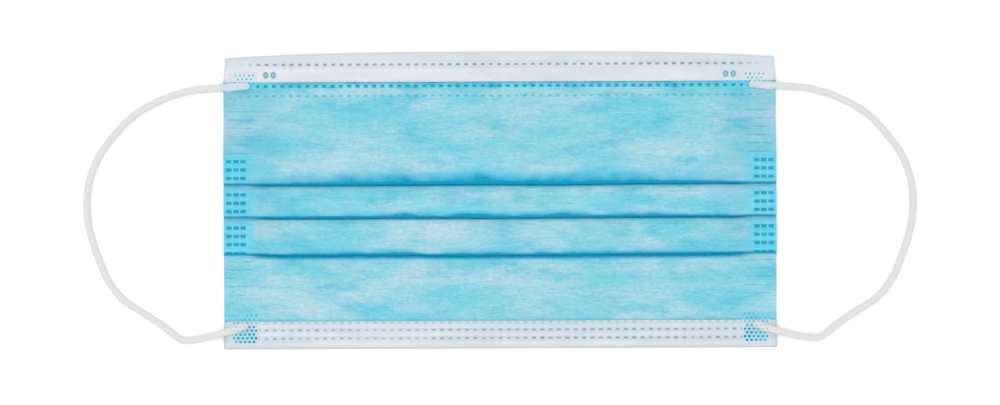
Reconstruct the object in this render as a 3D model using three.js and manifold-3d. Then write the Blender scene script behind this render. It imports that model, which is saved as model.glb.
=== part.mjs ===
// A pleated surgical face mask lying flat, its outer face up and its ear loops laid out.
// Millimetres: X runs from ear to ear, Y from chin to nose, Z up from the surface it lies on.
import * as THREE from "three";
import { mergeVertices } from "three/addons/utils/BufferGeometryUtils.js";
import Module from "manifold-3d";

// Outline of the cloth.
const halfWidth = 87.5;
const halfHeight = 47;
const cloth = 1; // one layer of the bonded plies
const gap = 0.3; // clearance between pieces that touch
const cornerDrop = 1.8; // the nose edge falls this far towards its corners
const cornerTuck = 0.8; // and its corners lean in this far
const tuckStart = 37;

// Pleats, each fold edge pointing to the chin: where its edge lies and how deep it tucks.
const pleats = [
  { line: 4.9, depth: 8 },
  { line: -5.5, depth: 8 },
  { line: -17.3, depth: 9.5 },
];
const bendSteps = 4; // straight runs in each half-turn of a fold
const noseRamp = 9; // length over which the cloth climbs on to the first pleat
const chinRamp = 7; // and comes down again past the last one

// Sections across the cloth, from the middle to one side: air between folded layers,
// the rise of each pleat towards its edge, and how far the nose band stands off the cloth.
const sections = [
  { x: 0, air: 0.5, rise: 0.9, bandLift: 0.9 },
  { x: 35, air: 0.48, rise: 0.85, bandLift: 0.9 },
  { x: 62, air: 0.4, rise: 0.75, bandLift: 0.9 },
  { x: 69.5, air: 0.3, rise: 0.65, bandLift: 0.9 },
  { x: 72, air: 0.3, rise: 0.6, bandLift: 0 },
  { x: 87.5, air: 0.3, rise: 0.6, bandLift: 0 },
];

// Bands of the inner ply turned over the nose and chin edges on to the outer face.
const noseBandEdge = 37.5;
const noseSeam = 43; // the band lies close to the cloth from this seam outwards
const wireSide = 41.7; // and stands off it on the chin side of this line
const chinBandEdge = -38.3;
const bandCorner = 0.5;
const bandMiddle = cloth + gap + cloth / 2;
const bandTop = bandMiddle + cloth / 2;

// Nose wire in its pocket under the nose band.
const wire = { length: 138, width: 3, thickness: 0.6, y: 39.6 };

// Welds that hold the pleats at each side: columns, then rows within each pleat.
const weldColumns = [81.3, 83.5, 85.8];
const weldPitch = 2.64;
const weldSize = { x: 1.55, y: 0.85 };
const weldRows = [
  { pleat: 0, first: 12.4, count: 3 },
  { pleat: 1, first: 1.9, count: 3 },
  { pleat: 2, first: -8.6, count: 4 },
];

// Ear loops: round elastic cord, its route from the nose weld to the chin weld on one side.
const cordRadius = 1.1;
const cordSides = 8;
const cordSteps = 34;
const loopRoute = [
  [84.3, 35.9, 2.55],
  [88, 35.8, 2.55],
  [92.5, 35.5, 2],
  [98, 34.9, 1.25],
  [104.5, 33.1, 1.15],
  [111, 30.2, 1.15],
  [117.3, 26, 1.15],
  [122.55, 20.3, 1.15],
  [127.2, 13.8, 1.15],
  [130.1, 6, 1.15],
  [130.8, -2, 1.15],
  [129.9, -9.5, 1.15],
  [127.4, -17.5, 1.15],
  [124.05, -25.3, 1.15],
  [119.3, -31.3, 1.15],
  [112.8, -35.6, 1.15],
  [106.5, -39.8, 1.15],
  [102.6, -42.8, 1.15],
  [98.9, -43.9, 1.25],
  [94.5, -43.4, 2],
  [90.8, -42.6, 3.2],
  [87.2, -41.6, 3.85],
  [84.3, -40.7, 3.85],
];

// Fused pads that fasten the loops: span across the cloth, its part beside the band and on it.
const padInner = 77.7;
const padOuter = 84;
const padTop = 3.5;
const pads = [
  { name: "top", bandEdge: noseBandEdge, cloth: 33.9, band: 39.9, tail: 4.7 },
  { name: "bottom", bandEdge: chinBandEdge, cloth: -35.9, band: -45.4, tail: 0 },
];

const wasm = await Module();
wasm.setup();

const blueCloth = new THREE.MeshStandardMaterial({ color: "#8fd3e3", roughness: 0.9, metalness: 0 });
const whiteCloth = new THREE.MeshStandardMaterial({ color: "#e0e5ec", roughness: 0.9, metalness: 0 });
const fusedCloth = new THREE.MeshStandardMaterial({ color: "#7fc6da", roughness: 0.6, metalness: 0 });
const elastic = new THREE.MeshStandardMaterial({ color: "#e6e6e6", roughness: 0.85, metalness: 0 });
const coatedWire = new THREE.MeshStandardMaterial({ color: "#f0f0ee", roughness: 0.5, metalness: 0 });

function noseEdge(x) {
  return halfHeight - cornerDrop * (Math.abs(x) / halfWidth) ** 3;
}

function tucked(x, y) {
  const share = Math.max(0, (y - tuckStart) / (halfHeight - tuckStart));
  return x * (1 - (cornerTuck / halfWidth) * share);
}

// Height of the middle of a folded layer: level 0 lies lowest and 2 on top.
function layerHeight(section, pleat, level, y) {
  const share = (pleat.line + pleat.depth - y) / pleat.depth;
  return cloth / 2 + level * (cloth + section.air) + section.rise * share;
}

// Half a turn between two layers, bulging towards the chin (-1) or the nose (1).
function halfTurn(y, z, radius, towards) {
  const points = [];
  for (let step = 0; step <= bendSteps; step++) {
    const angle = Math.PI / 2 - (Math.PI * step) / bendSteps;
    points.push([y + towards * radius * Math.cos(angle), z + radius * Math.sin(angle)]);
  }
  return points;
}

// The middle line of the pleated cloth, from the nose edge to the chin edge.
function pleatedPath(section) {
  const ground = cloth / 2;
  const radius = (cloth + section.air) / 2;
  const reach = radius + cloth / 2;
  const path = [
    [noseEdge(section.x) - cloth - gap, ground],
    [pleats[0].line + pleats[0].depth + noseRamp, ground],
  ];
  for (const pleat of pleats) {
    const top = pleat.line + pleat.depth;
    const edge = pleat.line + reach;
    const tuck = top - reach;
    path.push([top, layerHeight(section, pleat, 2, top)]);
    path.push(...halfTurn(edge, layerHeight(section, pleat, 1.5, edge), radius, -1));
    path.push(...halfTurn(tuck, layerHeight(section, pleat, 0.5, tuck), radius, 1));
    path.push([pleat.line, layerHeight(section, pleat, 0, pleat.line)]);
  }
  path.push([pleats.at(-1).line - chinRamp, ground]);
  path.push([-halfHeight + cloth + gap, ground]);
  return path;
}

// The nose band: up round the edge of the cloth, along its seam and over the wire.
function noseBandPath(section) {
  const edge = noseEdge(section.x) - cloth / 2;
  return [
    [edge, 0],
    [edge, bandMiddle - bandCorner],
    [edge - bandCorner, bandMiddle],
    [noseSeam, bandMiddle],
    [wireSide, bandMiddle + section.bandLift],
    [noseBandEdge, bandMiddle + section.bandLift],
  ];
}

function chinBandPath() {
  const edge = -halfHeight + cloth / 2;
  return [
    [chinBandEdge, bandMiddle],
    [edge + bandCorner, bandMiddle],
    [edge, bandMiddle - bandCorner],
    [edge, 0],
  ];
}

// Unit normal of a run between two path points.
function runNormal(from, to) {
  const along = new THREE.Vector2(to[0] - from[0], to[1] - from[1]).normalize();
  return new THREE.Vector2(-along.y, along.x);
}

// Both faces of a wall along a path, with mitred corners: a pair of points for each path point.
function wallFaces(path, thickness) {
  return path.map((point, i) => {
    const before = runNormal(path[Math.max(0, i - 1)], path[Math.max(1, i)]);
    const after = runNormal(path[Math.min(path.length - 2, i)], path[Math.min(path.length - 1, i + 1)]);
    const mitre = before.clone().add(after).normalize();
    mitre.multiplyScalar(thickness / 2 / mitre.dot(after));
    return [1, -1].map((side) => [point[0] + side * mitre.x, point[1] + side * mitre.y]);
  });
}

// A wall lofted across X through the same path at every section, closed all round.
function loftedWall(pathAt) {
  const half = sections.filter((section) => section.x > 0);
  const left = [...half].reverse().map((section) => ({ ...section, x: -section.x }));
  const rows = [...left, sections[0], ...half];
  const walls = rows.map((section) => wallFaces(pathAt(section), cloth));
  const count = walls[0].length;
  const positions = [];
  walls.forEach((wall, row) => {
    for (const pair of wall) {
      for (const [y, z] of pair) positions.push(tucked(rows[row].x, y), y, z);
    }
  });
  const vertex = (row, i, side) => (row * count + i) * 2 + side;
  const index = [];
  const quad = (a, b, c, d) => index.push(a, b, c, a, c, d);
  for (let row = 0; row + 1 < rows.length; row++) {
    for (let i = 0; i + 1 < count; i++) {
      quad(vertex(row, i, 0), vertex(row + 1, i, 0), vertex(row + 1, i + 1, 0), vertex(row, i + 1, 0));
      quad(vertex(row, i, 1), vertex(row, i + 1, 1), vertex(row + 1, i + 1, 1), vertex(row + 1, i, 1));
    }
    const last = count - 1;
    quad(vertex(row, 0, 0), vertex(row, 0, 1), vertex(row + 1, 0, 1), vertex(row + 1, 0, 0));
    quad(vertex(row, last, 0), vertex(row + 1, last, 0), vertex(row + 1, last, 1), vertex(row, last, 1));
  }
  for (let i = 0; i + 1 < count; i++) {
    const end = rows.length - 1;
    quad(vertex(0, i, 0), vertex(0, i + 1, 0), vertex(0, i + 1, 1), vertex(0, i, 1));
    quad(vertex(end, i, 0), vertex(end, i, 1), vertex(end, i + 1, 1), vertex(end, i + 1, 0));
  }
  const geometry = new THREE.BufferGeometry();
  geometry.setAttribute("position", new THREE.Float32BufferAttribute(positions, 3));
  geometry.setIndex(index);
  return geometry;
}

function solid(geometry) {
  const bare = geometry.clone();
  bare.deleteAttribute("normal");
  bare.deleteAttribute("uv");
  const merged = mergeVertices(bare, 1e-4);
  return new wasm.Manifold(
    new wasm.Mesh({
      numProp: 3,
      vertProperties: merged.attributes.position.array,
      triVerts: new Uint32Array(merged.index.array),
    }),
  );
}

function geometryOf(manifold) {
  const { vertProperties, triVerts } = manifold.getMesh();
  const geometry = new THREE.BufferGeometry();
  geometry.setAttribute("position", new THREE.BufferAttribute(vertProperties, 3));
  geometry.setIndex(new THREE.BufferAttribute(triVerts, 1));
  geometry.computeVertexNormals();
  return geometry;
}

// Weld posts through the three layers of each pleat, at both sides.
function weldPosts() {
  const sideSection = sections.at(-1);
  const posts = [];
  for (const side of [-1, 1]) {
    for (const column of weldColumns) {
      for (const { pleat, first, count } of weldRows) {
        for (let row = 0; row < count; row++) {
          const y = first - row * weldPitch;
          const low = layerHeight(sideSection, pleats[pleat], 0, y);
          const high = layerHeight(sideSection, pleats[pleat], 2, y);
          const post = new THREE.BoxGeometry(weldSize.x, weldSize.y, high - low);
          post.translate(side * column, y, (low + high) / 2);
          posts.push(post);
        }
      }
    }
  }
  return posts;
}

function pleatedBody() {
  const posts = wasm.Manifold.union(weldPosts().map(solid));
  return geometryOf(solid(loftedWall(pleatedPath)).add(posts));
}

function noseWire() {
  const end = wire.width / 2;
  const run = wire.length / 2 - end;
  const outline = new THREE.Shape();
  outline.absarc(run, 0, end, -Math.PI / 2, Math.PI / 2);
  outline.absarc(-run, 0, end, Math.PI / 2, Math.PI * 1.5);
  const strip = new THREE.ExtrudeGeometry(outline, {
    depth: wire.thickness,
    bevelEnabled: false,
    curveSegments: 6,
  });
  return strip.translate(0, wire.y, cloth + gap);
}

function earLoop(side) {
  const route = loopRoute.map(([x, y, z]) => new THREE.Vector3(side * x, y, z));
  const section = new THREE.Shape();
  section.absarc(0, 0, cordRadius, 0, Math.PI * 2);
  return new THREE.ExtrudeGeometry(section, {
    steps: cordSteps,
    curveSegments: cordSides / 2,
    extrudePath: new THREE.CatmullRomCurve3(route),
  });
}

// A fused pad stepped over the edge of its band, with the cord's melted tail if it has one.
function loopPad(pad, side) {
  const step = pad.bandEdge + Math.sign(pad.cloth - pad.bandEdge) * gap;
  const outline = new THREE.Shape([
    new THREE.Vector2(pad.cloth, cloth + gap),
    new THREE.Vector2(step, cloth + gap),
    new THREE.Vector2(step, bandTop + gap),
    new THREE.Vector2(pad.band, bandTop + gap),
    new THREE.Vector2(pad.band, padTop),
    new THREE.Vector2(pad.cloth, padTop),
  ]);
  const plate = new THREE.ExtrudeGeometry(outline, { depth: padOuter - padInner, bevelEnabled: false });
  // Shape XY and depth turn into Y, Z and X.
  plate.rotateX(Math.PI / 2).rotateZ(Math.PI / 2);
  plate.translate(side > 0 ? padInner : -padOuter, 0, 0);
  let fused = solid(plate);
  if (pad.tail > 0) {
    const tail = new THREE.CylinderGeometry(cordRadius, cordRadius, pad.tail, cordSides);
    tail.rotateZ(Math.PI / 2).rotateX(Math.PI / cordSides);
    const [, y, z] = loopRoute[0];
    tail.translate(side * (padOuter - pad.tail / 2), y, z);
    fused = fused.add(solid(tail));
  }
  return geometryOf(fused);
}

function piece(name, geometry, material) {
  const mesh = new THREE.Mesh(geometry, material);
  mesh.name = name;
  return mesh;
}

const mask = new THREE.Group();
mask.add(piece("pleated_body", pleatedBody(), blueCloth));
mask.add(piece("top_band", loftedWall(noseBandPath), whiteCloth));
mask.add(piece("bottom_band", loftedWall(chinBandPath), whiteCloth));
mask.add(piece("nose_wire", noseWire(), coatedWire));
for (const [label, side] of [["left", -1], ["right", 1]]) {
  mask.add(piece(`ear_loop_${label}`, earLoop(side), elastic));
  for (const pad of pads) mask.add(piece(`loop_weld_${pad.name}_${label}`, loopPad(pad, side), fusedCloth));
}

export default mask;
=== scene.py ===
import math
import bpy
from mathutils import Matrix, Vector, noise


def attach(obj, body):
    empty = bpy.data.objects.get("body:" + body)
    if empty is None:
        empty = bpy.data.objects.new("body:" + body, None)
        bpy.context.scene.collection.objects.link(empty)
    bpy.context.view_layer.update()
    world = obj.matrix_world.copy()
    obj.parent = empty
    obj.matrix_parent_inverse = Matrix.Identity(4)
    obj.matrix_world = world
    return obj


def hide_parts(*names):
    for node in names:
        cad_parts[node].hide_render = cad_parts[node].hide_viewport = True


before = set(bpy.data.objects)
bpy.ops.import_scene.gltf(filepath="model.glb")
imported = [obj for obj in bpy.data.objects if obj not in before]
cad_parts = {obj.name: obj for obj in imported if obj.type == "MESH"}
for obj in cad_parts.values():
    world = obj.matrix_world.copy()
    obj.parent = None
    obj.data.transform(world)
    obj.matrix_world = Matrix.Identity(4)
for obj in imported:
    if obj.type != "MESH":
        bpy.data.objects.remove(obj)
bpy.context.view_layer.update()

mm = 0.001
sideNames = {-1: "Left", 1: "Right"}


# Small helpers for meshes

def deselectAll():
    bpy.ops.object.select_all(action="DESELECT")


def activate(piece):
    deselectAll()
    bpy.context.view_layer.objects.active = piece
    piece.select_set(True)


def setMode(mode):
    bpy.ops.object.mode_set(mode=mode)


def selectTop(piece):
    # goes into edit mode with only the faces that look up
    setMode("EDIT")
    bpy.ops.mesh.select_all(action="DESELECT")
    setMode("OBJECT")
    for face in piece.data.polygons:
        face.select = face.normal.z > 0.9
    setMode("EDIT")


def smoothFaces(piece, degrees):
    activate(piece)
    bpy.ops.object.shade_smooth_by_angle(angle=math.radians(degrees))


def finishPiece(piece, name, material, replaced=()):
    piece.name = name
    piece.data.name = name
    piece.data.materials.clear()
    piece.data.materials.append(material)
    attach(piece, "root")
    if replaced:
        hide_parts(*replaced)
    print("made", name, len(piece.data.polygons), "faces")


# Small helpers for numbers

def smooth(low, high, value):
    # 0 at low, 1 at high, and an easy curve between
    share = min(1.0, max(0.0, (value - low) / (high - low)))
    return share * share * (3 - 2 * share)


def mix(first, second, share):
    return first + (second - first) * share


def grain(x, y, width, height, seed):
    # smooth noise from -1 to 1, with spots of that width and height
    return noise.noise(Vector((x / width, y / height, seed)))


def mirrored(columns):
    return [-x for x in reversed(columns)]


def runningLengths(points):
    # how far along the path each of its points lies
    lengths = [0.0]
    for (y0, z0), (y1, z1) in zip(points, points[1:]):
        lengths.append(lengths[-1] + math.hypot(y1 - y0, z1 - z0))
    return lengths


# Small helpers for materials

def linearColour(hexCode):
    channels = [int(hexCode[i:i + 2], 16) / 255 for i in (1, 3, 5)]
    return [c / 12.92 if c < 0.04045 else ((c + 0.055) / 1.055) ** 2.4 for c in channels] + [1.0]


def newMaterial(name):
    material = bpy.data.materials.new(name)
    material.use_nodes = True
    material.node_tree.nodes.clear()
    return material, material.node_tree


def addNode(tree, kind, settings={}, values={}, links={}):
    node = tree.nodes.new(kind)
    for name, value in settings.items():
        setattr(node, name, value)
    for socket, value in values.items():
        node.inputs[socket].default_value = value
    for socket, source in links.items():
        tree.links.new(source, node.inputs[socket])
    return node


def addMark(tree, name):
    # a number that the mesh carries at each of its points
    return addNode(tree, "ShaderNodeAttribute", {"attribute_name": name}).outputs["Fac"]


def addUvPlace(tree, layer):
    return addNode(tree, "ShaderNodeUVMap", {"uv_map": layer}).outputs["UV"]


def addGrain(tree, source, scale, detail, shift=(0, 0, 0), roughness=0.5):
    # noise with that many spots to the metre in each direction
    placed = addNode(tree, "ShaderNodeMapping", {}, {"Scale": scale, "Location": shift}, {"Vector": source})
    return addNode(tree, "ShaderNodeTexNoise", {}, {"Scale": 1, "Detail": detail, "Roughness": roughness},
                   {"Vector": placed.outputs["Vector"]}).outputs["Fac"]


def addRange(tree, source, start, end, kind="LINEAR"):
    # start and end are each a range: the source's, then the result's
    values = {"From Min": start[0], "From Max": start[1], "To Min": end[0], "To Max": end[1]}
    return addNode(tree, "ShaderNodeMapRange", {"interpolation_type": kind}, values,
                   {"Value": source}).outputs["Result"]


def addMath(tree, operation, values, links):
    return addNode(tree, "ShaderNodeMath", {"operation": operation}, values, links).outputs[0]


def mixColours(tree, share, first, second):
    # first and second are colour codes or sockets
    values, links = {}, {"Factor": share}
    for socket, source in (("A", first), ("B", second)):
        if isinstance(source, str):
            values[socket] = linearColour(source)
        else:
            links[socket] = source
    return addNode(tree, "ShaderNodeMix", {"data_type": "RGBA"}, values, links).outputs["Result"]


def addBump(tree, height, strength, distance):
    return addNode(tree, "ShaderNodeBump", {}, {"Strength": strength, "Distance": distance},
                   {"Height": height}).outputs["Normal"]


def addSurface(tree, values, links):
    shader = addNode(tree, "ShaderNodeBsdfPrincipled", {}, values, links)
    addNode(tree, "ShaderNodeOutputMaterial", {}, {}, {"Surface": shader.outputs["BSDF"]})


# Camera, straight above the mask and turned a hair, so that it lies a little askew in the frame

cameraLook = {"lens": 100.0, "sensor": 36.0, "fieldWidth": 317 * mm, "centreY": -0.86 * mm, "turn": -0.24}


def makeCamera(look):
    height = look["fieldWidth"] * look["lens"] / look["sensor"]
    bpy.ops.object.camera_add(location=(0, look["centreY"], height))
    camera = bpy.context.object
    camera.name = "camera"
    camera.data.lens = look["lens"]
    camera.data.sensor_width = look["sensor"]
    camera.rotation_euler = (0, 0, math.radians(look["turn"]))
    bpy.context.scene.camera = camera
    print("camera stands", round(height, 3), "m up")


makeCamera(cameraLook)


# Ear loops: round knitted elastic, flattened where its ends are fused on to the cloth.
# The route is the right loop's, in millimetres, from the nose weld to the chin weld.

cordShape = {
    "radius": 1.08,
    "step": 0.28,
    "sides": 32,
    "ribs": 8,  # knitted wales round the cord
    "course": 1.15,  # length of one stitch along it
    "ribDepth": 0.06,
    "noseTail": 3.6,  # melted stretch inside the weld
    "chinTail": 3.0,
    "noseTailTurn": (0.4, -0.5),  # sideways and down, from the weld's edge to the tip
    "chinTailTurn": (1.0, -0.55),
    "flatten": 8.5,  # the cord goes from round to flat over this length
    "fuseLead": 1.5,  # and is wholly flat this far before the weld's edge
    "flatWide": 1.12,  # share of the radius that a flat end keeps
    "flatTall": 0.4,
    "tip": 1.3,  # the tip rounds off over this length
    "noseSettle": (1.75, 7.0),  # real cloth is thinner than the space it is given, so the ends
    "chinSettle": (2.7, 10.0),  # lie lower by this much, fading over this distance
    "settleStart": 84,
    "settleEnd": (9, 14.5),
    "lieFrom": 8,  # from here on the cord lies on the floor
    "floorGap": 0.01,
}
cordRoute = [
    (84.3, 35.9, 2.55), (88, 35.8, 2.55), (92.5, 35.5, 2), (98, 34.9, 1.25), (104.5, 33.1, 1.15),
    (111, 30.2, 1.15), (117.3, 26, 1.15), (122.55, 20.3, 1.15), (127.2, 13.8, 1.15), (130.1, 6, 1.15),
    (130.8, -2, 1.15), (129.9, -9.5, 1.15), (127.4, -17.5, 1.15), (124.05, -25.3, 1.15),
    (119.3, -31.3, 1.15), (112.8, -35.6, 1.15), (106.5, -39.8, 1.15), (102.2, -43.3, 1.15),
    (99.6, -44.1, 1.25), (94.5, -43.4, 2), (90.8, -42.6, 3.2), (87.2, -41.6, 3.85), (84.3, -40.7, 3.85),
]


def throughPoints(points, step):
    # a smooth curve through the points, with a point every step along it
    padded = [points[0] * 2 - points[1], *points, points[-1] * 2 - points[-2]]
    fine = []
    for a, b, c, d in zip(padded, padded[1:], padded[2:], padded[3:]):
        for i in range(40):
            t = i / 40
            fine.append(0.5 * (2 * b + (c - a) * t + (2 * a - 5 * b + 4 * c - d) * t * t
                               + (3 * b - a - 3 * c + d) * t ** 3))
    fine.append(points[-1])
    even, gone = [fine[0]], 0.0
    for start, end in zip(fine, fine[1:]):
        run = (end - start).length
        while gone + run >= step:
            start = start.lerp(end, (step - gone) / run)
            even.append(start)
            run = (end - start).length
            gone = 0.0
        gone += run
    if (even[-1] - fine[-1]).length > step / 2:
        even.append(fine[-1])
    return even


def cordPath(side, shape):
    route = [Vector(point) for point in cordRoute]
    lowest = shape["radius"] + shape["ribDepth"] + shape["floorGap"]
    for point in route:
        drop, reach = shape["noseSettle"] if point.y > 0 else shape["chinSettle"]
        away = point.x - shape["settleStart"]
        point.z -= drop * math.exp(-away / reach) * (1 - smooth(*shape["settleEnd"], away))
        if away > shape["lieFrom"]:
            point.z = max(point.z, lowest)
    nose, chin = route[0], route[-1]
    route.insert(0, nose + Vector((-shape["noseTail"], *shape["noseTailTurn"])))
    route.append(chin + Vector((-shape["chinTail"], *shape["chinTailTurn"])))
    return throughPoints([Vector((side * p.x, p.y, p.z)) for p in route], shape["step"])


def cordPoints(path, shape):
    # rings of points round the path, ribbed along the free cord and flat at its ends
    step, sides, ribs = shape["step"], shape["sides"], shape["ribs"]
    total = (len(path) - 1) * step
    points = []
    for i, centre in enumerate(path):
        along = (path[min(i + 1, len(path) - 1)] - path[max(i - 1, 0)]).normalized()
        across = along.cross(Vector((0, 0, 1))).normalized()
        up = across.cross(along)
        fromNose = i * step
        fromChin = total - fromNose
        fused = max(1 - smooth(shape["noseTail"] - shape["fuseLead"], shape["flatten"], fromNose),
                    1 - smooth(shape["chinTail"] - shape["fuseLead"], shape["flatten"], fromChin))
        tip = math.sqrt(max(0.0, 1 - max(0, 1 - min(fromNose, fromChin) / shape["tip"]) ** 2))
        for k in range(sides):
            angle = 2 * math.pi * k / sides
            stitch = 2 * math.pi * fromNose / shape["course"] + ribs * angle * 0.5
            wale = math.cos(ribs * angle) * 0.6 + 0.4 * math.cos(stitch)
            radius = shape["radius"] + shape["ribDepth"] * wale * (1 - fused)
            wide = radius * mix(1, shape["flatWide"], fused) * max(tip, 0.05)
            tall = radius * mix(1, shape["flatTall"], fused) * max(tip, 0.05)
            points.append((centre + across * wide * math.cos(angle) + up * tall * math.sin(angle)) * mm)
    return points


def makeCord(side, name, node, material, shape):
    path = cordPath(side, shape)
    step, sides = shape["step"], shape["sides"]
    faces, uvs = [], []
    for i in range(len(path) - 1):
        for k in range(sides):
            nextK = (k + 1) % sides
            faces.append((i * sides + k, i * sides + nextK, (i + 1) * sides + nextK, (i + 1) * sides + k))
            corners = ((k, i), (k + 1, i), (k + 1, i + 1), (k, i + 1))
            uvs += [(u / sides, v * step * mm) for u, v in corners]
    ends = (list(range(sides - 1, -1, -1)), [(len(path) - 1) * sides + k for k in range(sides)])
    for end in ends:
        faces.append(end)
        uvs += [(0.5, 0)] * sides
    mesh = bpy.data.meshes.new(name)
    mesh.from_pydata(cordPoints(path, shape), [], faces)
    layer = mesh.uv_layers.new(name="along")
    for i, uv in enumerate(uvs):
        layer.data[i].uv = uv
    cord = bpy.data.objects.new(name, mesh)
    bpy.context.scene.collection.objects.link(cord)
    activate(cord)
    setMode("EDIT")
    bpy.ops.mesh.select_all(action="SELECT")
    bpy.ops.mesh.normals_make_consistent(inside=False)
    setMode("OBJECT")
    smoothFaces(cord, 60)
    finishPiece(cord, name, material, [node])


def makeElastic(look):
    # Knitted polyester over latex: matt and a little fuzzy, its stitches catch small soft shadows.
    material, tree = newMaterial("knittedElastic")
    place = addUvPlace(tree, "along")
    fuzz = addGrain(tree, place, look["fuzzScale"], 3)
    colour = mixColours(tree, fuzz, look["low"], look["high"])
    # the nose end shines bluish through the film it is melted into
    far = addNode(tree, "ShaderNodeSeparateXYZ", {}, {}, {"Vector": place}).outputs["Y"]
    melted = addRange(tree, far, [end * mm for end in look["meltedEnd"]], (look["meltedShare"], 0))
    colour = mixColours(tree, melted, colour, look["melted"])
    addSurface(tree, {"Roughness": 0.85, "Specular IOR Level": 0.25,
                      "Sheen Weight": 0.15, "Sheen Roughness": 0.5},
               {"Base Color": colour, "Normal": addBump(tree, fuzz, look["bump"], 0.1 * mm)})
    return material


elasticLook = {"low": "#bebebd", "high": "#e1e1e0", "fuzzScale": (14, 2500, 1), "bump": 0.35,
               "melted": "#bccfd6", "meltedShare": 0.85, "meltedEnd": (5.5, 8.5)}
knittedElastic = makeElastic(elasticLook)
for side, sideName in sideNames.items():
    makeCord(side, "earLoop" + sideName, "ear_loop_" + sideName.lower(), knittedElastic, cordShape)


# The cloth: outline, pleats and welds in millimetres, shared by every ply

maskShape = {
    "halfWidth": 87.5,
    "halfHeight": 47.0,
    "cornerDrop": 1.8,
    "cornerTuck": 0.8,
    "tuckStart": 37.0,
    "wall": (0.54, 0.44),  # bonded plies in the middle of the mask, and pressed together at its sides
    "air": (0.16, 0.08),  # between folded layers
    "rise": (0.35, 0.2),  # climb of a pleat towards its edge
    "ply": 0.2,
    "pressed": (74.0, 81.0),  # the sides grow thin between these
    "settle": (14, 13),  # cloth comes down to the surface over this length, above the pleats and below
    "hemInside": 1.2,  # plies end this far inside the turned-over edges
}
pleats = [
    # core and fade are painted shade, the deep blue roll above the line and its ragged fading; a fainter
    # fringe of painted shade reaches above them, and under is painted shade below the line
    {"line": 4.9, "depth": 8.0, "sag": 0.08, "core": 1.1, "fade": 4.2, "shadeFringe": 0.32, "under": 0.85},
    {"line": -5.5, "depth": 8.0, "sag": -0.12, "core": 0.75, "fade": 1.6, "shadeFringe": 0.2, "under": 0.8},
    {"line": -17.2, "depth": 9.5, "sag": -0.45, "core": 0.6, "fade": 1.2, "shadeFringe": 0.1, "under": 1.9},
]
welds = {
    "pitch": 2.647,  # dash rows, from ear to ear
    "dashHalf": 0.54,
    "rim": 0.2,  # cloth draws in over this width round a weld
    "count": 31,
    "noseRow": 43.0,
    "wireRow": 36.2,
    "clothRow": 33.1,
    "chinRows": (-38.75, -41.1, -43.75),
    "rowHalf": 0.28,
    "wireHalf": 0.38,  # the row under the wire is heavier
    "sideColumns": (81.3, 83.5, 85.8),
    "sideHalf": 0.76,
    "sideHalfY": 0.44,
    "sidePitch": 2.64,
    "sideRows": ((12.4, 3), (1.9, 3), (-8.6, 4)),  # first row of each group, and how many
    "depth": 0.18,
    "slack": 0.01,  # a point this near a weld's rim is still on it
    "rowRim": 0.18,
    "dotRim": 0.16,
    "creaseHalf": 0.4,
    "hemMargin": 0.4,
}
looseCloth = {
    "sideEnd": (62, 80),  # loose cloth ends between these, towards the sides, the nose and the chin
    "noseEnd": (24, 34),
    "chinEnd": (27, 37),
    "swell": 0.55,
    "swellChange": 0.8,
    "wrinkle": 0.16,
    "fineWrinkle": 0.05,
    "lineEnd": (70, 81),  # fold lines run straight past these
    "sagReach": 80,
    "stray": 0.3,
    "strayAbove": 12,  # what lies this near the fold lines strays with them
    "strayBelow": 10,
}
foldDetail = {"bendSteps": 4, "tuckSteps": 3, "hiddenStep": 4}  # rows of the mesh in a pleat's hidden part


def noseEdge(x):
    return maskShape["halfHeight"] - maskShape["cornerDrop"] * (abs(x) / maskShape["halfWidth"]) ** 3


def tucked(x, y):
    share = max(0, (y - maskShape["tuckStart"]) / (maskShape["halfHeight"] - maskShape["tuckStart"]))
    return x * (1 - maskShape["cornerTuck"] / maskShape["halfWidth"] * share)


def eased(name, x):
    # a value of the cloth on its way from the middle of the mask to the pressed sides
    middle, side = maskShape[name]
    return mix(middle, side, smooth(*maskShape["pressed"], abs(x)))


def wallAt(x):
    return eased("wall", x)


def puff(x, y):
    # soft swells and faint wrinkles of cloth that lies loose between its welds
    loose = looseCloth
    free = (1 - smooth(*loose["sideEnd"], abs(x))) * (1 - smooth(*loose["noseEnd"], y))
    free *= 1 - smooth(*loose["chinEnd"], -y)
    swell = loose["swell"] + loose["swellChange"] * grain(x, y, 34, 15, 3.1)
    wrinkle = loose["wrinkle"] * grain(x, y, 13, 4.5, 8.7) + loose["fineWrinkle"] * grain(x, y, 5, 2, 5.2)
    return max(0, free * (swell + wrinkle))


def wander(x, y):
    # how far a fold line strays from straight, shared by all that lies near it
    loose = looseCloth
    free = 1 - smooth(*loose["lineEnd"], abs(x))
    shifts = []
    for i, pleat in enumerate(pleats):
        sag = pleat["sag"] * (1 - (x / loose["sagReach"]) ** 2)
        shifts.append(free * (sag + loose["stray"] * grain(x, 0, 30, 1, 11.5 + 7 * i)))
    stops = [(pleats[0]["line"] + pleats[0]["depth"] + loose["strayAbove"], 0)]
    for pleat, shift in zip(pleats, shifts):
        stops += [(pleat["line"] + pleat["depth"], shift), (pleat["line"], shift)]
    stops.append((pleats[-1]["line"] - loose["strayBelow"], 0))
    for (high, first), (low, second) in zip(stops, stops[1:]):
        if low <= y <= high:
            return mix(second, first, (y - low) / max(high - low, 1e-6))
    return 0.0


def layerHeight(x, pleat, level, y):
    share = (pleat["line"] + pleat["depth"] - y) / pleat["depth"]
    return wallAt(x) / 2 + level * (wallAt(x) + eased("air", x)) + eased("rise", x) * share


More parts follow.
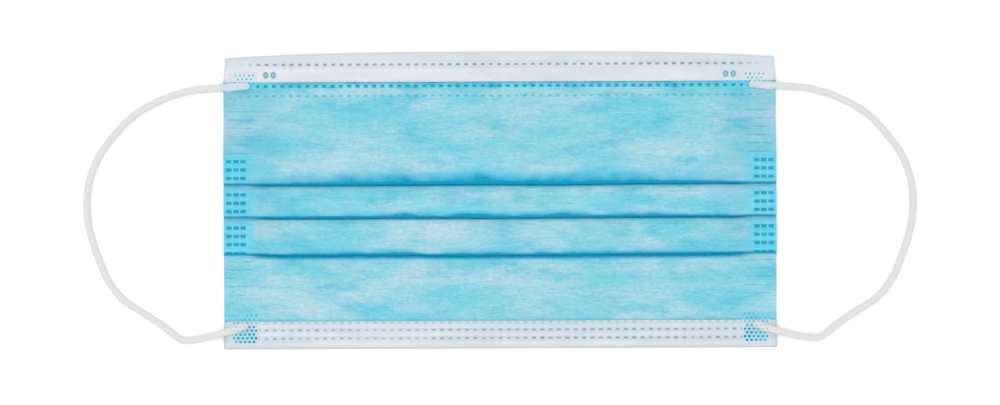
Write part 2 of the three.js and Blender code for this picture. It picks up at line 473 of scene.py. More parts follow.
def panelHeight(x, y, above, below):
    # the wall's middle line on a visible panel, between the pleat above it and the one below
    ground = wallAt(x) / 2
    if below:
        top = below["line"] + below["depth"]
        if y <= top:
            return layerHeight(x, below, 2, y)
        start = above["line"] if above else top + maskShape["settle"][0]
        foot = layerHeight(x, above, 0, above["line"]) if above else ground
        return mix(layerHeight(x, below, 2, top), foot, smooth(top, start, y))
    foot = layerHeight(x, above, 0, above["line"])
    return mix(ground, foot, smooth(above["line"] - maskShape["settle"][1], above["line"], y))


def foldRows(visibleRows):
    # one row of the cloth after another from nose to chin: which stretch it is on, and where
    bend, tuck = foldDetail["bendSteps"], foldDetail["tuckSteps"]
    rows = []
    for i in range(len(pleats) + 1):
        rows += [("panel", i, y) for y in visibleRows[i]]
        if i < len(pleats):
            count = max(2, round(pleats[i]["depth"] / foldDetail["hiddenStep"]))
            rows += [("edge", i, k / bend) for k in range(bend + 1)]
            rows += [("back", i, k / count) for k in range(1, count)]
            rows += [("tuck", i, k / tuck) for k in range(tuck + 1)]
            rows += [("under", i, k / count) for k in range(1, count)]
    return rows


def clothPoint(x, row, endY):
    # place of the wall's middle line, and which way its outer face looks
    kind, i, t = row
    radius = (wallAt(x) + eased("air", x)) / 2
    reach = radius + wallAt(x) / 2
    if kind == "panel":
        y = endY if t is None else t
        above = pleats[i - 1] if i else None
        below = pleats[i] if i < len(pleats) else None
        step = 0.05
        z = panelHeight(x, y, above, below)
        slope = (panelHeight(x, y + step, above, below) - z) / step
        normal = Vector((-slope, 1)).normalized()
    else:
        pleat = pleats[i]
        top = pleat["line"] + pleat["depth"]
        edge, tuck = pleat["line"] + reach, top - reach
        if kind in ("edge", "tuck"):
            towards, middle, level = (-1, edge, 1.5) if kind == "edge" else (1, tuck, 0.5)
            angle = math.pi / 2 - math.pi * t
            y = middle + towards * radius * math.cos(angle)
            z = layerHeight(x, pleat, level, middle) + radius * math.sin(angle)
            normal = Vector((-math.cos(angle), -towards * math.sin(angle)))
        elif kind == "back":
            y = mix(edge, tuck, t)
            z = layerHeight(x, pleat, 1, y)
            normal = Vector((0, -1))
        else:
            y = mix(tuck, pleat["line"], t)
            z = layerHeight(x, pleat, 0, y)
            normal = Vector((0, 1))
    return y, z, normal


def sheetFromGrid(columns, rowCount, place, thickness, kinds):
    # a flat grid laid out, moved into its folds, then given its thickness
    bpy.ops.mesh.primitive_grid_add(x_subdivisions=len(columns) - 1, y_subdivisions=rowCount - 1, size=1)
    sheet = bpy.context.object
    mesh = sheet.data
    for kind in kinds:
        mesh.attributes.new(kind, "FLOAT", "POINT")
    marks = {kind: mesh.attributes[kind] for kind in kinds}
    cut = []
    for vertex in mesh.vertices:
        i = round((vertex.co.x + 0.5) * (len(columns) - 1))
        j = round((vertex.co.y + 0.5) * (rowCount - 1))
        point, along, values = place(columns[i], j)
        vertex.co = Vector(point) * mm
        for kind, value in zip(kinds, values):
            marks[kind].data[vertex.index].value = value
        cut.append((columns[i] * mm, along * mm))
    layer = mesh.uv_layers[0]
    layer.name = "cut"
    for loop in mesh.loops:
        layer.data[loop.index].uv = cut[loop.vertex_index]
    activate(sheet)
    wall = sheet.modifiers.new("wall", "SOLIDIFY")
    wall.thickness = thickness * mm
    wall.offset = 0
    bpy.ops.object.modifier_apply(modifier="wall")
    smoothFaces(sheet, 55)
    return sheet


def aroundWeld(middle, half, rim):
    # two grid lines at each side of a weld, so that its rim is sharp
    return [middle - half - rim, middle - half, middle + half, middle + half + rim]


def dashColumns(first, last):
    pitch = welds["pitch"]
    columns = []
    for k in range(first, last + 1):
        columns += aroundWeld(k * pitch, welds["dashHalf"], welds["rim"])
        if k < last:
            columns.append(k * pitch + pitch / 2)
    return columns


def sideColumns():
    columns = []
    for middle in welds["sideColumns"]:
        columns += aroundWeld(middle, welds["sideHalf"], welds["rim"])
    columns[-1] = min(columns[-1], maskShape["halfWidth"] - welds["hemMargin"])
    return columns + [maskShape["halfWidth"]]


def halfOf(row):
    return welds["wireHalf"] if row == welds["wireRow"] else welds["rowHalf"]


def onDash(x, y, row, strength=1.0):
    # how strongly a dash row presses the cloth here
    if abs(y - row) > halfOf(row) + welds["slack"]:
        return 0.0
    k = round(x / welds["pitch"])
    if abs(k) > welds["count"] or abs(x - k * welds["pitch"]) > welds["dashHalf"] + welds["slack"]:
        return 0.0
    return strength * (0.85 + 0.3 * noise.noise(Vector((k * 0.73, row, 2.2))))


def rowRim(row):
    return aroundWeld(row, halfOf(row), welds["rowRim"])[::-1]


def creaseRows(first, last):
    # the side dots' spacing runs on as thin creases where the cloth is a single layer
    rows = []
    for k in range(first, last - 1, -1):
        middle = welds["sideRows"][0][0] + k * welds["sidePitch"]
        rows += [middle + welds["creaseHalf"], middle, middle - welds["creaseHalf"]]
    return rows


# Outer ply: the blue face, folded into its pleats, with the weld dashes and dots pressed into it

def outerRows():
    # rows stand close where a weld, a crease or a fold line needs a sharp rim
    visible = [[None, 43.6, 40.5, 38.4, 37.3, *rowRim(welds["wireRow"]), 34.6,
                *rowRim(welds["clothRow"]), 31.5, *creaseRows(6, 1)]]
    for i, (first, count) in enumerate(welds["sideRows"]):
        line = pleats[i]["line"]
        for row in range(count):
            dots = aroundWeld(first - row * welds["sidePitch"], welds["sideHalfY"], welds["dotRim"])[::-1]
            visible[i] += [y for y in dots if y > line + 1.3]
        visible[i] += [line + 1.25, line + 0.85, line + 0.45]
        start = [line - 0.02, line - 0.4, line - 0.75, line - 1.2]
        visible.append([y for y in start if i == 2 or y > welds["sideRows"][i + 1][0] + 0.7])
    visible[-1] += [*creaseRows(-12, -17), -34.5, -36.0, -37.4, -38.3, -39.4, -42.5, -45.0,
                    -maskShape["halfHeight"] + maskShape["hemInside"]]
    return foldRows(visible)


def sideDot(x, y):
    half = welds["sideHalf"] + welds["slack"]
    column = next((c for c in welds["sideColumns"] if abs(abs(x) - c) <= half), None)
    if column is None:
        return 0.0
    for first, count in welds["sideRows"]:
        for row in range(count):
            middle = first - row * welds["sidePitch"]
            if abs(y - middle) <= welds["sideHalfY"] + welds["slack"]:
                return 0.85 + 0.3 * noise.noise(Vector((column, middle, 4.4)))
    return 0.0


# tones of the blue face: pairs are the places in millimetres between which a tone comes or goes
clothTones = {
    "bow": 88,  # tones along a fold line die away towards this far out
    "shadeFringeHigh": (1, 6.0),  # above a line, the painted shade fringe fades out between these
    "lineCore": 0.6,  # width of the painted shade roll at the sides
    "lineSide": (74, 82),
    "underShare": 0.95,
    "strip": (35.0, 35.9),  # cloth under the nose band's weld row
    "stripHigh": (36.8, 37.5),
    "stripSide": (70, 74),
    "stripPressed": (35.0, 36.4),
    "chinStrip": (-37.3, -38.2),
    "chinPressed": (-35.2, -37.6),
    "chinSide": (73, 78),
    "hem": 0.13,
    "hemSide": (64, 78),
    "hemLow": (-20.0, -15.0),
    "pressedSide": (75.6, 81.4),
    "pressedMiddle": -2,  # the pressed side strip is fainter past the weld groups
    "pressedReach": (14, 18),
    "creaseSide": (75.5, 80),
    "creaseEnd": (86, 87.3),
    "creasesUpper": ((14.2, 15.2), (28, 34)),
    "creasesLower": ((-34, -29), (-19.2, -18.2)),
    "creaseWidth": 0.15,  # as a share of the spacing
}


def bow(x):
    return 1 - (abs(x) / clothTones["bow"]) ** 2.5


def shadeFringe(x, y, pleat):
    # where the layers behind a pleat's edge show through it
    # a ragged fringe above each fold line, painted shade of the fold's roll and partly the layers behind
    # its edge showing through
    fading = 1 - smooth(*clothTones["shadeFringeHigh"], y - pleat["line"])
    return pleat["shadeFringe"] * bow(x) * fading * (1 + 0.8 * grain(x, y, 14, 6, 71.0))


def foldShade(x, row, y):
    # painted shade of the folds: the cloth is coloured deep blue on each fold's roll, in a ragged fringe
    # above it and just below its line; it is also deeper where it lies over more layers, beside the bands'
    # edges and towards the sides
    kind, i, t = row
    if kind != "panel":
        return 1.0
    tones, middle, shade = clothTones, bow(x), 0.0
    if i < len(pleats):
        pleat = pleats[i]
        above = y - pleat["line"]
        ragged = 1 + 0.7 * grain(x, 0, 13, 1, 21.0 + i) + 0.55 * grain(x, y, 4.5, 3, 31.0 + i)
        core = mix(tones["lineCore"], pleat["core"] * (0.6 + 0.4 * ragged), middle)
        roll = 1 - smooth(core - 0.3, core + mix(0.2, 0.6, middle), above)
        fade = 0.75 * middle * ragged * (1 - smooth(core - 0.3, core + pleat["fade"], above))
        shade = max(roll, fade, 0.4 * shadeFringe(x, y, pleat))
    # painted shade just below the line of the fold above
    if i:
        pleat = pleats[i - 1]
        under = tones["underShare"] * (1 - smooth(0.25, pleat["under"], pleat["line"] - y))
        shade = max(shade, under * (1 - smooth(*tones["lineSide"], abs(x))))
    strip = smooth(*tones["strip"], y) * (1 - 0.5 * smooth(*tones["stripSide"], abs(x)))
    blots = 0.7 * max(0.0, grain(x, y, 4, 1.6, 43.0))
    strip *= 0.1 + 0.25 * grain(x, 0, 14, 1, 41.0) + 0.3 * smooth(*tones["stripHigh"], y) + blots
    chin = 0.3 * smooth(*tones["chinStrip"], y)
    hem = tones["hem"] * smooth(*tones["hemSide"], abs(x)) * smooth(*tones["hemLow"], y)
    return max(shade, strip, chin, hem)


def squeezedAndShade(x, row, y):
    # brighter, clearer blue where the plies are pressed together round the welds, with the teal of the
    # painted shade fringe above each fold line
    kind, i, t = row
    if kind != "panel":
        return 0.0
    tones = clothTones
    side = smooth(*tones["pressedSide"], abs(x))
    groups = 0.0
    for first, count in welds["sideRows"]:
        last = first - (count - 1) * welds["sidePitch"]
        groups = max(groups, smooth(first + 1.7, first + 0.5, y) * smooth(last - 1.7, last - 0.5, y))
    groups *= side * (0.72 + 0.4 * grain(x, y, 2.6, 2.2, 81.0))
    strip = 0.7 * smooth(*tones["stripPressed"], y)
    chin = 0.4 * smooth(*tones["chinPressed"], y) * smooth(*tones["chinSide"], abs(x))
    # painted shade fringe above the fold line, in the squeezed tone
    fringeShade = 1.9 * shadeFringe(x, y, pleats[i]) if i < len(pleats) else 0.0
    between = 0.35 * side * (1 - smooth(*tones["pressedReach"], abs(y - tones["pressedMiddle"])))
    return max(groups, strip, chin, fringeShade, between)


def creased(x, y):
    # faint marks of the side welds run on where the cloth is a single layer
    tones = clothTones
    side = smooth(*tones["creaseSide"], abs(x)) * (1 - smooth(*tones["creaseEnd"], abs(x)))
    zone = sum(smooth(*start, y) * (1 - smooth(*end, y))
               for start, end in (tones["creasesUpper"], tones["creasesLower"]))
    place = (y - welds["sideRows"][0][0]) / welds["sidePitch"]
    near = 1 - smooth(0.0, tones["creaseWidth"], abs(place - round(place)))
    return side * zone * near * (0.85 + 0.8 * grain(x, y, 3, 3, 51.0))


def makePly(name, material, columns, rows, kinds, layAt):
    # layAt gives how far the ply lies above the wall's middle line, and its marks
    hem = maskShape["hemInside"]
    lengths = runningLengths([clothPoint(0, row, noseEdge(0) - hem)[:2] for row in rows])

    def place(x, j):
        y, z, normal = clothPoint(x, rows[j], noseEdge(x) - hem)
        offset, marks = layAt(x, rows[j], y)
        shifted = y + wander(x, y)
        point = (tucked(x, y), shifted + normal.x * offset, z + puff(x, shifted) + normal.y * offset)
        return point, lengths[j], marks

    ply = sheetFromGrid(columns, len(rows), place, maskShape["ply"], kinds)
    finishPiece(ply, name, material, ["pleated_body"])
    return ply, lengths


def outerPly(material):
    columns = mirrored(sideColumns()) + dashColumns(-30, 30) + sideColumns()

    def layAt(x, row, y):
        weld = 0.0
        if row[0] == "panel":
            weld = max(onDash(x, y, welds["wireRow"]), onDash(x, y, welds["clothRow"], 0.5), sideDot(x, y))
            weld = max(weld, 0.5 * creased(x, y))
        offset = wallAt(x) / 2 - maskShape["ply"] / 2 - welds["depth"] * weld
        return offset, (weld, foldShade(x, row, y), squeezedAndShade(x, row, y))

    ply, lengths = makePly("outerPly", material, columns, outerRows(),
                           ("weld", "deep", "squeezedAndShade"), layAt)
    return lengths[-1]


# Inner ply: the white face against the skin, folded together with the outer one

def innerPly(material):
    visible = [[None, 43.6, 36.0, 30.0, 24.0, 18.5, 15.5], [], [], []]
    for i, pleat in enumerate(pleats):
        top = pleat["line"] + pleat["depth"]
        visible[i] += [top, pleat["line"] + pleat["depth"] / 2, pleat["line"] + 1.25]
        visible[i + 1] += [pleat["line"] - 0.02]
    visible[3] += [-21, -25, -30, -36, -42, -maskShape["halfHeight"] + maskShape["hemInside"]]
    columns = [x * 3.5 for x in range(-25, 26)]

    def layAt(x, row, y):
        return -(wallAt(x) / 2 - maskShape["ply"] / 2), ()

    ply, lengths = makePly("innerPly", material, columns, foldRows(visible), (), layAt)


# Bands: the inner ply turned over the nose and chin edges, puffed between its weld rows

bandShape = {
    "noseEdge": 37.5,
    "chinEdge": -38.3,
    "lift": 0.05,  # above the outer ply where a weld row holds the band down
    "loft": 0.3,  # and how much higher it stands between rows
    "loftRise": (0.2, 1.3),
    "fusedFrom": (75.6, 76.8),  # no loft under the patches
    "fusedTo": (85.2, 86.5),
    "wireTop": 1.25,
    "wireLow": (37.2, 37.95),
    "wireHigh": (41.25, 42.3),
    "wireEnd": (69.3, 70.6),
    "turnRadius": 0.6,
    "turnSteps": 8,
    "underside": 3.0,
    "tail": (84.0, 85.7, 86.8),  # columns past the last dash
    "gap": 0.03,  # under the turned-over edge
    "rawRow": 37.3,  # the weld row that ends the nose band
    "grooveShade": 0.65,  # painted shade: how much darker the cloth is coloured beside a weld row, where the loft dips
    "grooveShadeReach": (0.3, 1.2),
    "noseGrooveShade": 0.4,
    "noseHem": (43.2, 43.6),
    "noseHemTone": 0.3,
    # painted shade along the band's turned edge and its ends, deeper on the chin band
    "edgeShade": {1: 0.25, -1: 0.6},
    "edgeShadeReach": (0.1, 0.9),
    "noseDashFade": (74, 83),
    "chinDashEnd": (76, 78.5),
}


def bandHeight(x, distance, rows):
    # distance is from the band's raw edge; it dips at every weld row
    nearest = min([abs(distance - row) for row in rows])
    fused = smooth(*bandShape["fusedFrom"], abs(x)) * (1 - smooth(*bandShape["fusedTo"], abs(x)))
    loft = bandShape["loft"] * (1 + 0.35 * grain(x, distance, 12, 4, 14.0)) * (1 - fused)
    raised = loft * smooth(*bandShape["loftRise"], nearest)
    return wallAt(x) + bandShape["lift"] + maskShape["ply"] / 2 + raised


def bandSheet(name, node, material, side, rawEdge, flatRows, weldRows, heightAt, edgeAt):
    # side is 1 for the nose band and -1 for the chin band
    steps = bandShape["turnSteps"]
    rows = [("flat", y) for y in flatRows] + [("turn", k / steps) for k in range(steps + 1)]
    rows += [("under", 0.5), ("under", 1.0)]
    tail = [*bandShape["tail"], maskShape["halfWidth"]]
    columns = mirrored(tail) + dashColumns(-31, 31) + tail
    radius, half = bandShape["turnRadius"], maskShape["ply"] / 2

    def middleLine(x, row):
        kind, t = row
        centre = edgeAt(x) - side * (radius + half)
        top, bottom = heightAt(x, centre), half + bandShape["gap"]
        if kind == "flat":
            y = rawEdge + side * t
            return y, heightAt(x, y)
        if kind == "turn":
            angle = math.pi / 2 - math.pi * t
            z = (top + bottom) / 2 + (top - bottom) / 2 * math.sin(angle)
            return centre + side * radius * math.cos(angle), z
        return centre - side * t * bandShape["underside"], bottom

    lengths = runningLengths([middleLine(0, row) for row in rows])

    def place(x, j):
        y, z = middleLine(x, rows[j])
        weld = 0.0
        if rows[j][0] == "flat":
            weld = max(onDash(x, y, row, strength(x)) for row, strength in weldRows)
        # painted shade in the grooves beside the weld rows, and on the nose band a bluish-grey top hem
        nearest = min(abs(y - row) for row, _ in weldRows)
        grooveShadeAndHem = bandShape["grooveShade"] * (1 - smooth(*bandShape["grooveShadeReach"], nearest))
        if side > 0:
            hem = bandShape["noseHemTone"] * smooth(*bandShape["noseHem"], y)
            grooveShadeAndHem = max(hem, bandShape["noseGrooveShade"] * grooveShadeAndHem)
        # painted shade along the band's edges
        inside = min(maskShape["halfWidth"] - abs(x), side * (edgeAt(x) - y))
        rim = bandShape["edgeShade"][side] * (1 - smooth(*bandShape["edgeShadeReach"], inside))
        return (tucked(x, y), y, z - welds["depth"] * weld), lengths[j], (weld, rim, grooveShadeAndHem)

    band = sheetFromGrid(columns, len(rows), place, maskShape["ply"], ("weld", "deep", "squeezedAndShade"))
    finishPiece(band, name, material, [node])
    return band


def noseBand(material):
    row = welds["noseRow"]

    def heightAt(x, y):
        flat = bandHeight(x, y, [row, bandShape["rawRow"]])
        overWire = smooth(*bandShape["wireLow"], y) * (1 - smooth(*bandShape["wireHigh"], y))
        overWire *= 1 - smooth(*bandShape["wireEnd"], abs(x))
        return mix(flat, bandShape["wireTop"], overWire)

    def strength(x):
        fading = 1 - 0.75 * smooth(*bandShape["noseDashFade"], abs(x))
        return fading * (0.9 + 0.2 * grain(x, 0, 20, 1, 66.0))

    start = bandShape["noseEdge"]
    flatRows = [0, 0.25, 0.5, 0.9, 1.7, 2.6, 3.4, 3.8, 4.2, 4.6, 4.9]
    flatRows += [y - start for y in reversed(rowRim(row))] + [6.2, 6.45]
    band = bandSheet("noseBand", "top_band", material, 1, start, flatRows, [(row, strength)],
                     heightAt, noseEdge)


def chinBand(material):
    weldRows = welds["chinRows"]

    def heightAt(x, y):
        return bandHeight(x, y, weldRows)

    def edgeAt(x):
        return -maskShape["halfHeight"]

    def edgeStrength(x):
        return 0.4

    def strength(x):
        worn = 0.6 + 0.45 * grain(x, 0, 26, 1, 61.0) + 0.2 * smooth(0, 40, x)
        return worn * (1 - smooth(*bandShape["chinDashEnd"], abs(x)))

    start = bandShape["chinEdge"]
    flatRows = [0]
    for row in weldRows:
        flatRows += [start - y for y in rowRim(row)] + [start - row + 0.9, start - row + 1.5]
    strengths = list(zip(weldRows, (edgeStrength, strength, strength)))
    band = bandSheet("chinBand", "bottom_band", material, -1, start, sorted(flatRows), strengths,
                     heightAt, edgeAt)


# Spunbond polypropylene: fine filaments laid mostly ear to ear, cloudy where the web is thicker,
# matt with a soft bloom. Presses look deeper because the air is squeezed out of them; folds, band grooves
# and band edges carry painted shade.

def spunbondCloth(tree, look):
    # what the cloth links to its surface
    place = addUvPlace(tree, "cut")
    marks = {name: addMark(tree, name) for name in ("squeezedAndShade", "deep", "weld")}
    grains = {}
    for i, (name, (width, height, detail)) in enumerate(look["grains"].items()):
        scale = (1 / (width * mm), 1 / (height * mm), 1)
        grains[name] = addGrain(tree, place, scale, detail, (7.3 * i, 3.1 * i, 0), 0.63)
    threads = addMath(tree, "ADD", {}, {0: grains["streaks"], 1: grains["fibres"]})
    fuzzyEdge = addMath(tree, "MULTIPLY_ADD", {1: 0.75, 2: 0.25}, {0: threads})
    deepBroken = addMath(tree, "MULTIPLY", {}, {0: marks["deep"], 1: fuzzyEdge})
    light = addRange(tree, threads, (0.6, 1.4), (1 - look["threadShare"], 1 + look["threadShare"]))
    # the third and fourth layers carry painted shade as well: along the fold lines, in the bands' grooves
    # and along their edges
    layers = (("SMOOTHSTEP", grains["clouds"], look["cloudRange"], 1.0, look["pale"]),
              ("SMOOTHSTEP", grains["patches"], look["patchRange"], look["patchShare"], look["rich"]),
              ("LINEAR", marks["squeezedAndShade"], (0, 1), 1.0, look["squeezedAndShade"]),
              ("LINEAR", deepBroken, (0, 0.85), 1.0, look["deep"]),
              ("SMOOTHSTEP", marks["weld"], (0, 0.85), look["weldShare"], look["weld"]))
    colour = look["base"]
    for kind, source, start, most, tint in layers:
        colour = mixColours(tree, addRange(tree, source, start, (0, most), kind), colour, tint)
        if tint == look["squeezedAndShade"]:
            colour = addNode(tree, "ShaderNodeHueSaturation", {}, {},
                             {"Value": light, "Color": colour}).outputs["Color"]
    rough = addRange(tree, marks["weld"], (0.2, 0.9), (look["roughness"], 0.55))
    bump = addBump(tree, threads, look["bump"], 0.15 * mm)
    return {"Base Color": colour, "Normal": bump, "Roughness": rough}


def makeSpunbond(name, look):
    material, tree = newMaterial(name)
    addSurface(tree, {"Specular IOR Level": 0.15, "IOR": 1.49}, spunbondCloth(tree, look))
    return material


# grains are width and height in millimetres, and how many finer octaves each carries
blueLook = {
    # the squeezed tone is pressed cloth round the welds, and the teal of the painted shade fringe above the
    # fold lines
    "base": "#6fbfce", "pale": "#a5c8d4", "rich": "#50b2c9", "squeezedAndShade": "#5bcae2",
    # the deep tone is painted shade along the fold lines, and the deeper blue of cloth over more layers and
    # beside the bands
    "deep": "#048fb5", "weld": "#0594ab", "weldShare": 0.95,
    "grains": {"clouds": (40, 13, 5), "patches": (17, 6.5, 5),
               "streaks": (4.0, 0.75, 2), "fibres": (1.3, 0.65, 1)},
    "cloudRange": (0.36, 0.66), "patchRange": (0.46, 0.74), "patchShare": 0.8,
    "threadShare": 0.15, "roughness": 0.9, "bump": 0.5,
}
whiteLook = {
    # on the bands the squeezed tone is painted shade in the grooves beside the weld rows, with the
    # bluish-grey top hem of the nose band
    "base": "#c6cdd4", "pale": "#d0d4d9", "rich": "#c0c9d2", "squeezedAndShade": "#b7c8d3",
    # and the deep tone is painted shade along the bands' edges
    "deep": "#a4b2bc", "weld": "#748f9a", "weldShare": 0.9,
    "grains": {"clouds": (34, 9, 3), "patches": (17, 6, 3),
               "streaks": (4, 0.8, 2), "fibres": (1.4, 0.6, 1)},
    "cloudRange": (0.36, 0.66), "patchRange": (0.5, 0.72), "patchShare": 0.5,
    "threadShare": 0.05, "roughness": 0.88, "bump": 0.3,
}
blueSpunbond = makeSpunbond("blueSpunbondPolypropylene", blueLook)
whiteSpunbond = makeSpunbond("whiteSpunbondPolypropylene", whiteLook)
innerPly(whiteSpunbond)
cutLength = outerPly(blueSpunbond)
noseBand(whiteSpunbond)
chinBand(whiteSpunbond)
print("cut length of the pleated cloth", round(cutLength, 1), "mm")


# Fused patches over the cord ends: plies and flattened cord melted together in staggered dots

patchShape = {
    "step": 0.13,
    "pitch": 1.41,
    "depth": 0.1,
    "film": 0.08,
    "clear": 0.13,  # stands this far above the cloth it is fused to
    "sunk": -0.05,  # and its rim dips into it
    "rim": 0.9,
    "tailHigh": 1.25,  # flattened cord under the film
    "dotMargin": 0.6,
    "bandStep": (-0.25, 0.05),  # climbs on to the band between these
    "faintSide": (79, 83),  # dots are fainter past these
    "fieldReach": (0.15, 1.5),
    "milkyHigh": (-42.2, -39.6),
}
patches = [
    # panel counts down from the nose, bright is how milky the part on the band is
    {"name": "Nose", "node": "top", "inner": 77.0, "outer": 87.1, "high": 40.8, "low": 33.9,
     "firstRow": 39.62, "rowPitch": 1.15, "firstX": 77.97, "dotRadius": 0.32, "dotsEnd": 84.3,
     "bandEdge": 37.5, "bandSide": 1, "clothDot": 0.3, "panel": 0,
     "tail": ((87.0, 35.75), (80.1, 36.4)), "tailHalf": 1.5, "bright": 0.0},
    {"name": "Chin", "node": "bottom", "inner": 76.5, "outer": 85.3, "high": -35.4, "low": -45.6,
     "firstRow": -36.4, "rowPitch": 1.186, "firstX": 77.4, "dotRadius": 0.36, "dotsEnd": 84.6,
     "bandEdge": -38.3, "bandSide": -1, "clothDot": 0.55, "panel": len(pleats),
     "tail": ((85.6, -41.2), (81.0, -39.5)), "tailHalf": 1.7, "bright": 1.0},
]


def patchDot(x, y, patch):
    pitch, margin = patchShape["pitch"], patchShape["dotMargin"]
    row = round((patch["firstRow"] - y) / patch["rowPitch"])
    shift = pitch / 2 * (row % 2)
    k = round((x - patch["firstX"] - shift) / pitch)
    middle = Vector((patch["firstX"] + shift + k * pitch, patch["firstRow"] - row * patch["rowPitch"]))
    inside = patch["inner"] + margin < middle.x < patch["dotsEnd"]
    inside = inside and patch["low"] + margin < middle.y < patch["high"] - margin
    reach = patch["dotRadius"] * (1 + 0.25 * noise.noise(Vector((k * 0.9, row * 0.7, patch["bandEdge"]))))
    return (1 - smooth(reach * 0.7, reach * 1.4, (Vector((x, y)) - middle).length)) if inside else 0.0


def tailShare(x, y, patch):
    # 1 in the middle of the flattened cord end, 0 past its side
    start, end = (Vector(point) for point in patch["tail"])
    point = Vector((x, y))
    along = end - start
    share = min(1.0, max(0.0, (point - start).dot(along) / along.length_squared))
    half = patch["tailHalf"] * (1 - 0.2 * share)
    return max(0.0, 1 - ((point - start - along * share).length / half) ** 2)


def makePatch(patch, side, material):
    wide = round((patch["outer"] - patch["inner"]) / patchShape["step"])
    columns = [mix(patch["inner"], patch["outer"], i / wide) for i in range(wide + 1)]
    columns = mirrored(columns) if side < 0 else columns
    rowCount = round((patch["high"] - patch["low"]) / patchShape["step"]) + 1
    start = maskShape["halfHeight"] - maskShape["hemInside"]

    def place(x, j):
        y = mix(patch["low"], patch["high"], j / (rowCount - 1))
        onBand = smooth(*patchShape["bandStep"], patch["bandSide"] * (y - patch["bandEdge"]))
        dot = patchDot(abs(x), y, patch)
        tail = tailShare(abs(x), y, patch)
        border = min(abs(x) - patch["inner"], patch["outer"] - abs(x), y - patch["low"], patch["high"] - y)
        raised = smooth(0.0, patchShape["rim"], border)
        stand = mix(patchShape["sunk"], patchShape["clear"], raised) + patchShape["film"] / 2
        toOuter = smooth(0.0, patchShape["rim"], patch["outer"] - abs(x))
        lump = patchShape["tailHigh"] * math.sqrt(tail) * toOuter
        ground = wallAt(x) + onBand * (bandShape["lift"] + maskShape["ply"])
        z = ground + stand + lump - patchShape["depth"] * dot
        row = ("panel", patch["panel"], y)
        milky = patch["bright"] * smooth(*patchShape["milkyHigh"], y + 0.35 * (abs(x) - 81))
        faint = 0.5 * smooth(*patchShape["faintSide"], abs(x))
        weld = dot * mix(patch["clothDot"] * (1 - faint), (1 - 0.45 * milky) * (1 - 0.4 * faint), onBand)
        toDots = patch["dotsEnd"] + patchShape["dotMargin"] - abs(x)
        field = smooth(*patchShape["fieldReach"], min(border, toDots)) * (1 - 0.65 * milky)
        cut = cutLength - start - y if patch["panel"] else start - y
        shades = (weld, foldShade(x, row, y), squeezedAndShade(x, row, y), onBand, smooth(0.0, 0.35, tail), field)
        return (x, y, z), cut, shades

    kinds = ("weld", "deep", "squeezedAndShade", "band", "tail", "field")
    film = sheetFromGrid(columns, rowCount, place, patchShape["film"], kinds)
    sideName = sideNames[side]
    node = "loop_weld_" + patch["node"] + "_" + sideName.lower()
    finishPiece(film, "fusedPatch" + patch["name"] + sideName, material, [node])


def makeFused(name, look, clothLook):
    # Polypropylene melted to a film: smoother than cloth, and see-through enough that the blue shows.
    material, tree = newMaterial(name)
    marks = {kind: addMark(tree, kind) for kind in ("weld", "band", "tail", "field")}
    cloudy = addGrain(tree, addUvPlace(tree, "cut"), (700, 900, 1), 2)
    surface = spunbondCloth(tree, clothLook)
    for zone in ("band", "tail"):
        film = mixColours(tree, cloudy, *look[zone])
        if zone == "band":
            film = mixColours(tree, marks["field"], look["bandEdge"], film)
        film = mixColours(tree, marks["weld"], film, look[zone + "Dot"])
        surface["Base Color"] = mixColours(tree, marks[zone], surface["Base Color"], film)
    addSurface(tree, {"Specular IOR Level": 0.2, "IOR": 1.49}, surface)
    return material


paleFilm = {"bandEdge": "#c8ced5", "band": ("#b7d3dd", "#c7dde5"), "bandDot": "#738e98",
            "tail": ("#b9cdd4", "#cdd5d8"), "tailDot": "#98a2b0"}
cyanFilm = {"bandEdge": "#c2ced6", "band": ("#7dcadb", "#a0d3df"), "bandDot": "#2b6b80",
            "tail": ("#c3cdd3", "#d0d4d7"), "tailDot": "#8999a2"}
fusedFilms = {"Nose": makeFused("fusedPaleFilm", paleFilm, blueLook),
              "Chin": makeFused("fusedCyanFilm", cyanFilm, blueLook)}
for patch in patches:
    for side in sideNames:
        makePatch(patch, side, fusedFilms[patch["name"]])


# Nose wire: two steel strands in one flat coating, hidden in the nose band's pocket

wireShape = {
    "length": 138.0,
    "width": 3.0,
    "thick": 0.5,
    "y": 39.6,
    "clear": 0.04,  # above the cloth
    "strand": 1.1,  # width of the coating over each strand
    "web": 0.3,  # thickness between them
    "rounding": 0.16,
}


def makeCoatedWire(look):
    # Polyethylene over steel: milky white, smooth and a little waxy, faintly drawn along its length.
    material, tree = newMaterial("coatedSteelWire")
    place = addNode(tree, "ShaderNodeTexCoord").outputs["Object"]
    colour = mixColours(tree, addGrain(tree, place, look["drawnScale"], 2), look["low"], look["high"])
    addSurface(tree, {"Roughness": 0.42, "IOR": 1.51}, {"Base Color": colour})
    return material


def makeWire(material, shape):
    middle = wallAt(0) + shape["clear"] + shape["thick"] / 2
    bpy.ops.mesh.primitive_cube_add(size=mm, location=(0, shape["y"] * mm, middle * mm))
    wire = bpy.context.object
    wire.scale = (shape["length"], shape["width"], shape["thick"])
    bpy.ops.object.transform_apply()
    selectTop(wire)
    bpy.ops.mesh.inset(thickness=shape["strand"] * mm, use_boundary=True)
    bpy.ops.transform.translate(value=(0, 0, (shape["web"] - shape["thick"]) * mm))
    setMode("OBJECT")
    rounded = wire.modifiers.new("rounded", "BEVEL")
    rounded.width = shape["rounding"] * mm
    rounded.segments = 3
    bpy.ops.object.modifier_apply(modifier="rounded")
    smoothFaces(wire, 50)
    finishPiece(wire, "noseWire", material, ["nose_wire"])


wireLook = {"low": "#d2d2cd", "high": "#e6e6e2", "drawnScale": (60, 4000, 4000)}
makeWire(makeCoatedWire(wireLook), wireShape)

# and the two pairs of round spots that close the pocket past the wire's ends

wireSpots = {
    "places": (71.6, 74.0),
    "y": 39.7,
    "radius": 0.8,
    "tall": 1.22,
    "height": 0.3,
    "proud": 0.06,
    "rings": ((0.16, 0), (0.14, -0.1), (0.3, 0.04)),  # width and rise of each, from the rim inwards
}


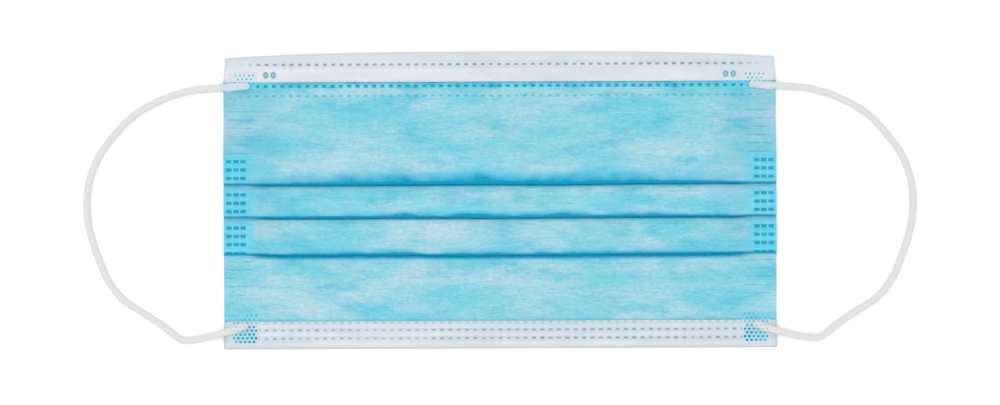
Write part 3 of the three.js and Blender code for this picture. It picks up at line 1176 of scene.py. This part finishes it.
def makeWireSpots(side, material, shape):
    spots = []
    between = sum(shape["places"]) / len(shape["places"])
    top = wallAt(between) + bandShape["lift"] + maskShape["ply"] + bandShape["loft"] + shape["proud"]
    for x in shape["places"]:
        place = (side * x * mm, shape["y"] * mm, top * mm)
        bpy.ops.mesh.primitive_cylinder_add(vertices=32, radius=shape["radius"] * mm,
                                            depth=shape["height"] * mm, location=place)
        spot = bpy.context.object
        spot.scale.y = shape["tall"]
        bpy.ops.object.transform_apply()
        selectTop(spot)
        for width, rise in shape["rings"]:
            bpy.ops.mesh.inset(thickness=width * mm, depth=rise * mm)
        setMode("OBJECT")
        rim = spot.data.attributes.new("rim", "FLOAT", "POINT")
        for vertex in spot.data.vertices:
            reach = math.hypot(vertex.co.x / mm - side * x, (vertex.co.y / mm - shape["y"]) / shape["tall"])
            rim.data[vertex.index].value = smooth(0.25, 0.6, reach)
        smoothFaces(spot, 40)
        spots.append(spot)
    deselectAll()
    for spot in spots:
        spot.select_set(True)
    bpy.context.view_layer.objects.active = spots[0]
    bpy.ops.object.join()
    finishPiece(bpy.context.object, "wireSpots" + sideNames[side], material)


def makeSpotFilm(look):
    # The same melted film over the blue ply, darker where its rim is squeezed up.
    material, tree = newMaterial("fusedTealFilm")
    colour = mixColours(tree, addMark(tree, "rim"), look["middle"], look["rim"])
    addSurface(tree, {"Roughness": 0.55, "IOR": 1.49, "Specular IOR Level": 0.25}, {"Base Color": colour})
    return material


spotLook = {"middle": "#8dc3cc", "rim": "#6a9dab"}
spotFilm = makeSpotFilm(spotLook)
for side in sideNames:
    makeWireSpots(side, spotFilm, wireSpots)


# Stage: a pale floor, soft light all round and one large soft key from the nose side

stageLook = {
    "floor": "#fcfcfc",
    "floorSize": 12,
    "world": 0.97,
    "lights": {           # place, size and power
        "key": ((-0.35, 0.35, 1.1), 0.7, 3.3),
        "fill": ((0.3, -0.7, 0.85), 0.8, 1.6),
    },
}


def makeStage(look):
    bpy.ops.mesh.primitive_plane_add(size=look["floorSize"], location=(0, 0, 0))
    floor = bpy.context.object
    floor.name = "floor"
    material, tree = newMaterial("paleFloor")
    addSurface(tree, {"Base Color": linearColour(look["floor"]), "Roughness": 0.9,
                      "Specular IOR Level": 0.1}, {})
    floor.data.materials.append(material)
    world = bpy.data.worlds.new("softRoom")
    world.use_nodes = True
    background = world.node_tree.nodes["Background"]
    background.inputs["Color"].default_value = (1, 1, 1, 1)
    background.inputs["Strength"].default_value = look["world"]
    bpy.context.scene.world = world
    for name, (place, size, power) in look["lights"].items():
        bpy.ops.object.light_add(type="AREA", location=place)
        light = bpy.context.object
        light.name = name
        light.data.size = size
        light.data.energy = power
        light.rotation_euler = (-Vector(place)).to_track_quat("-Z", "Y").to_euler()
    bpy.context.scene.view_settings.view_transform = "Standard"
    print("stage is set")


makeStage(stageLook)
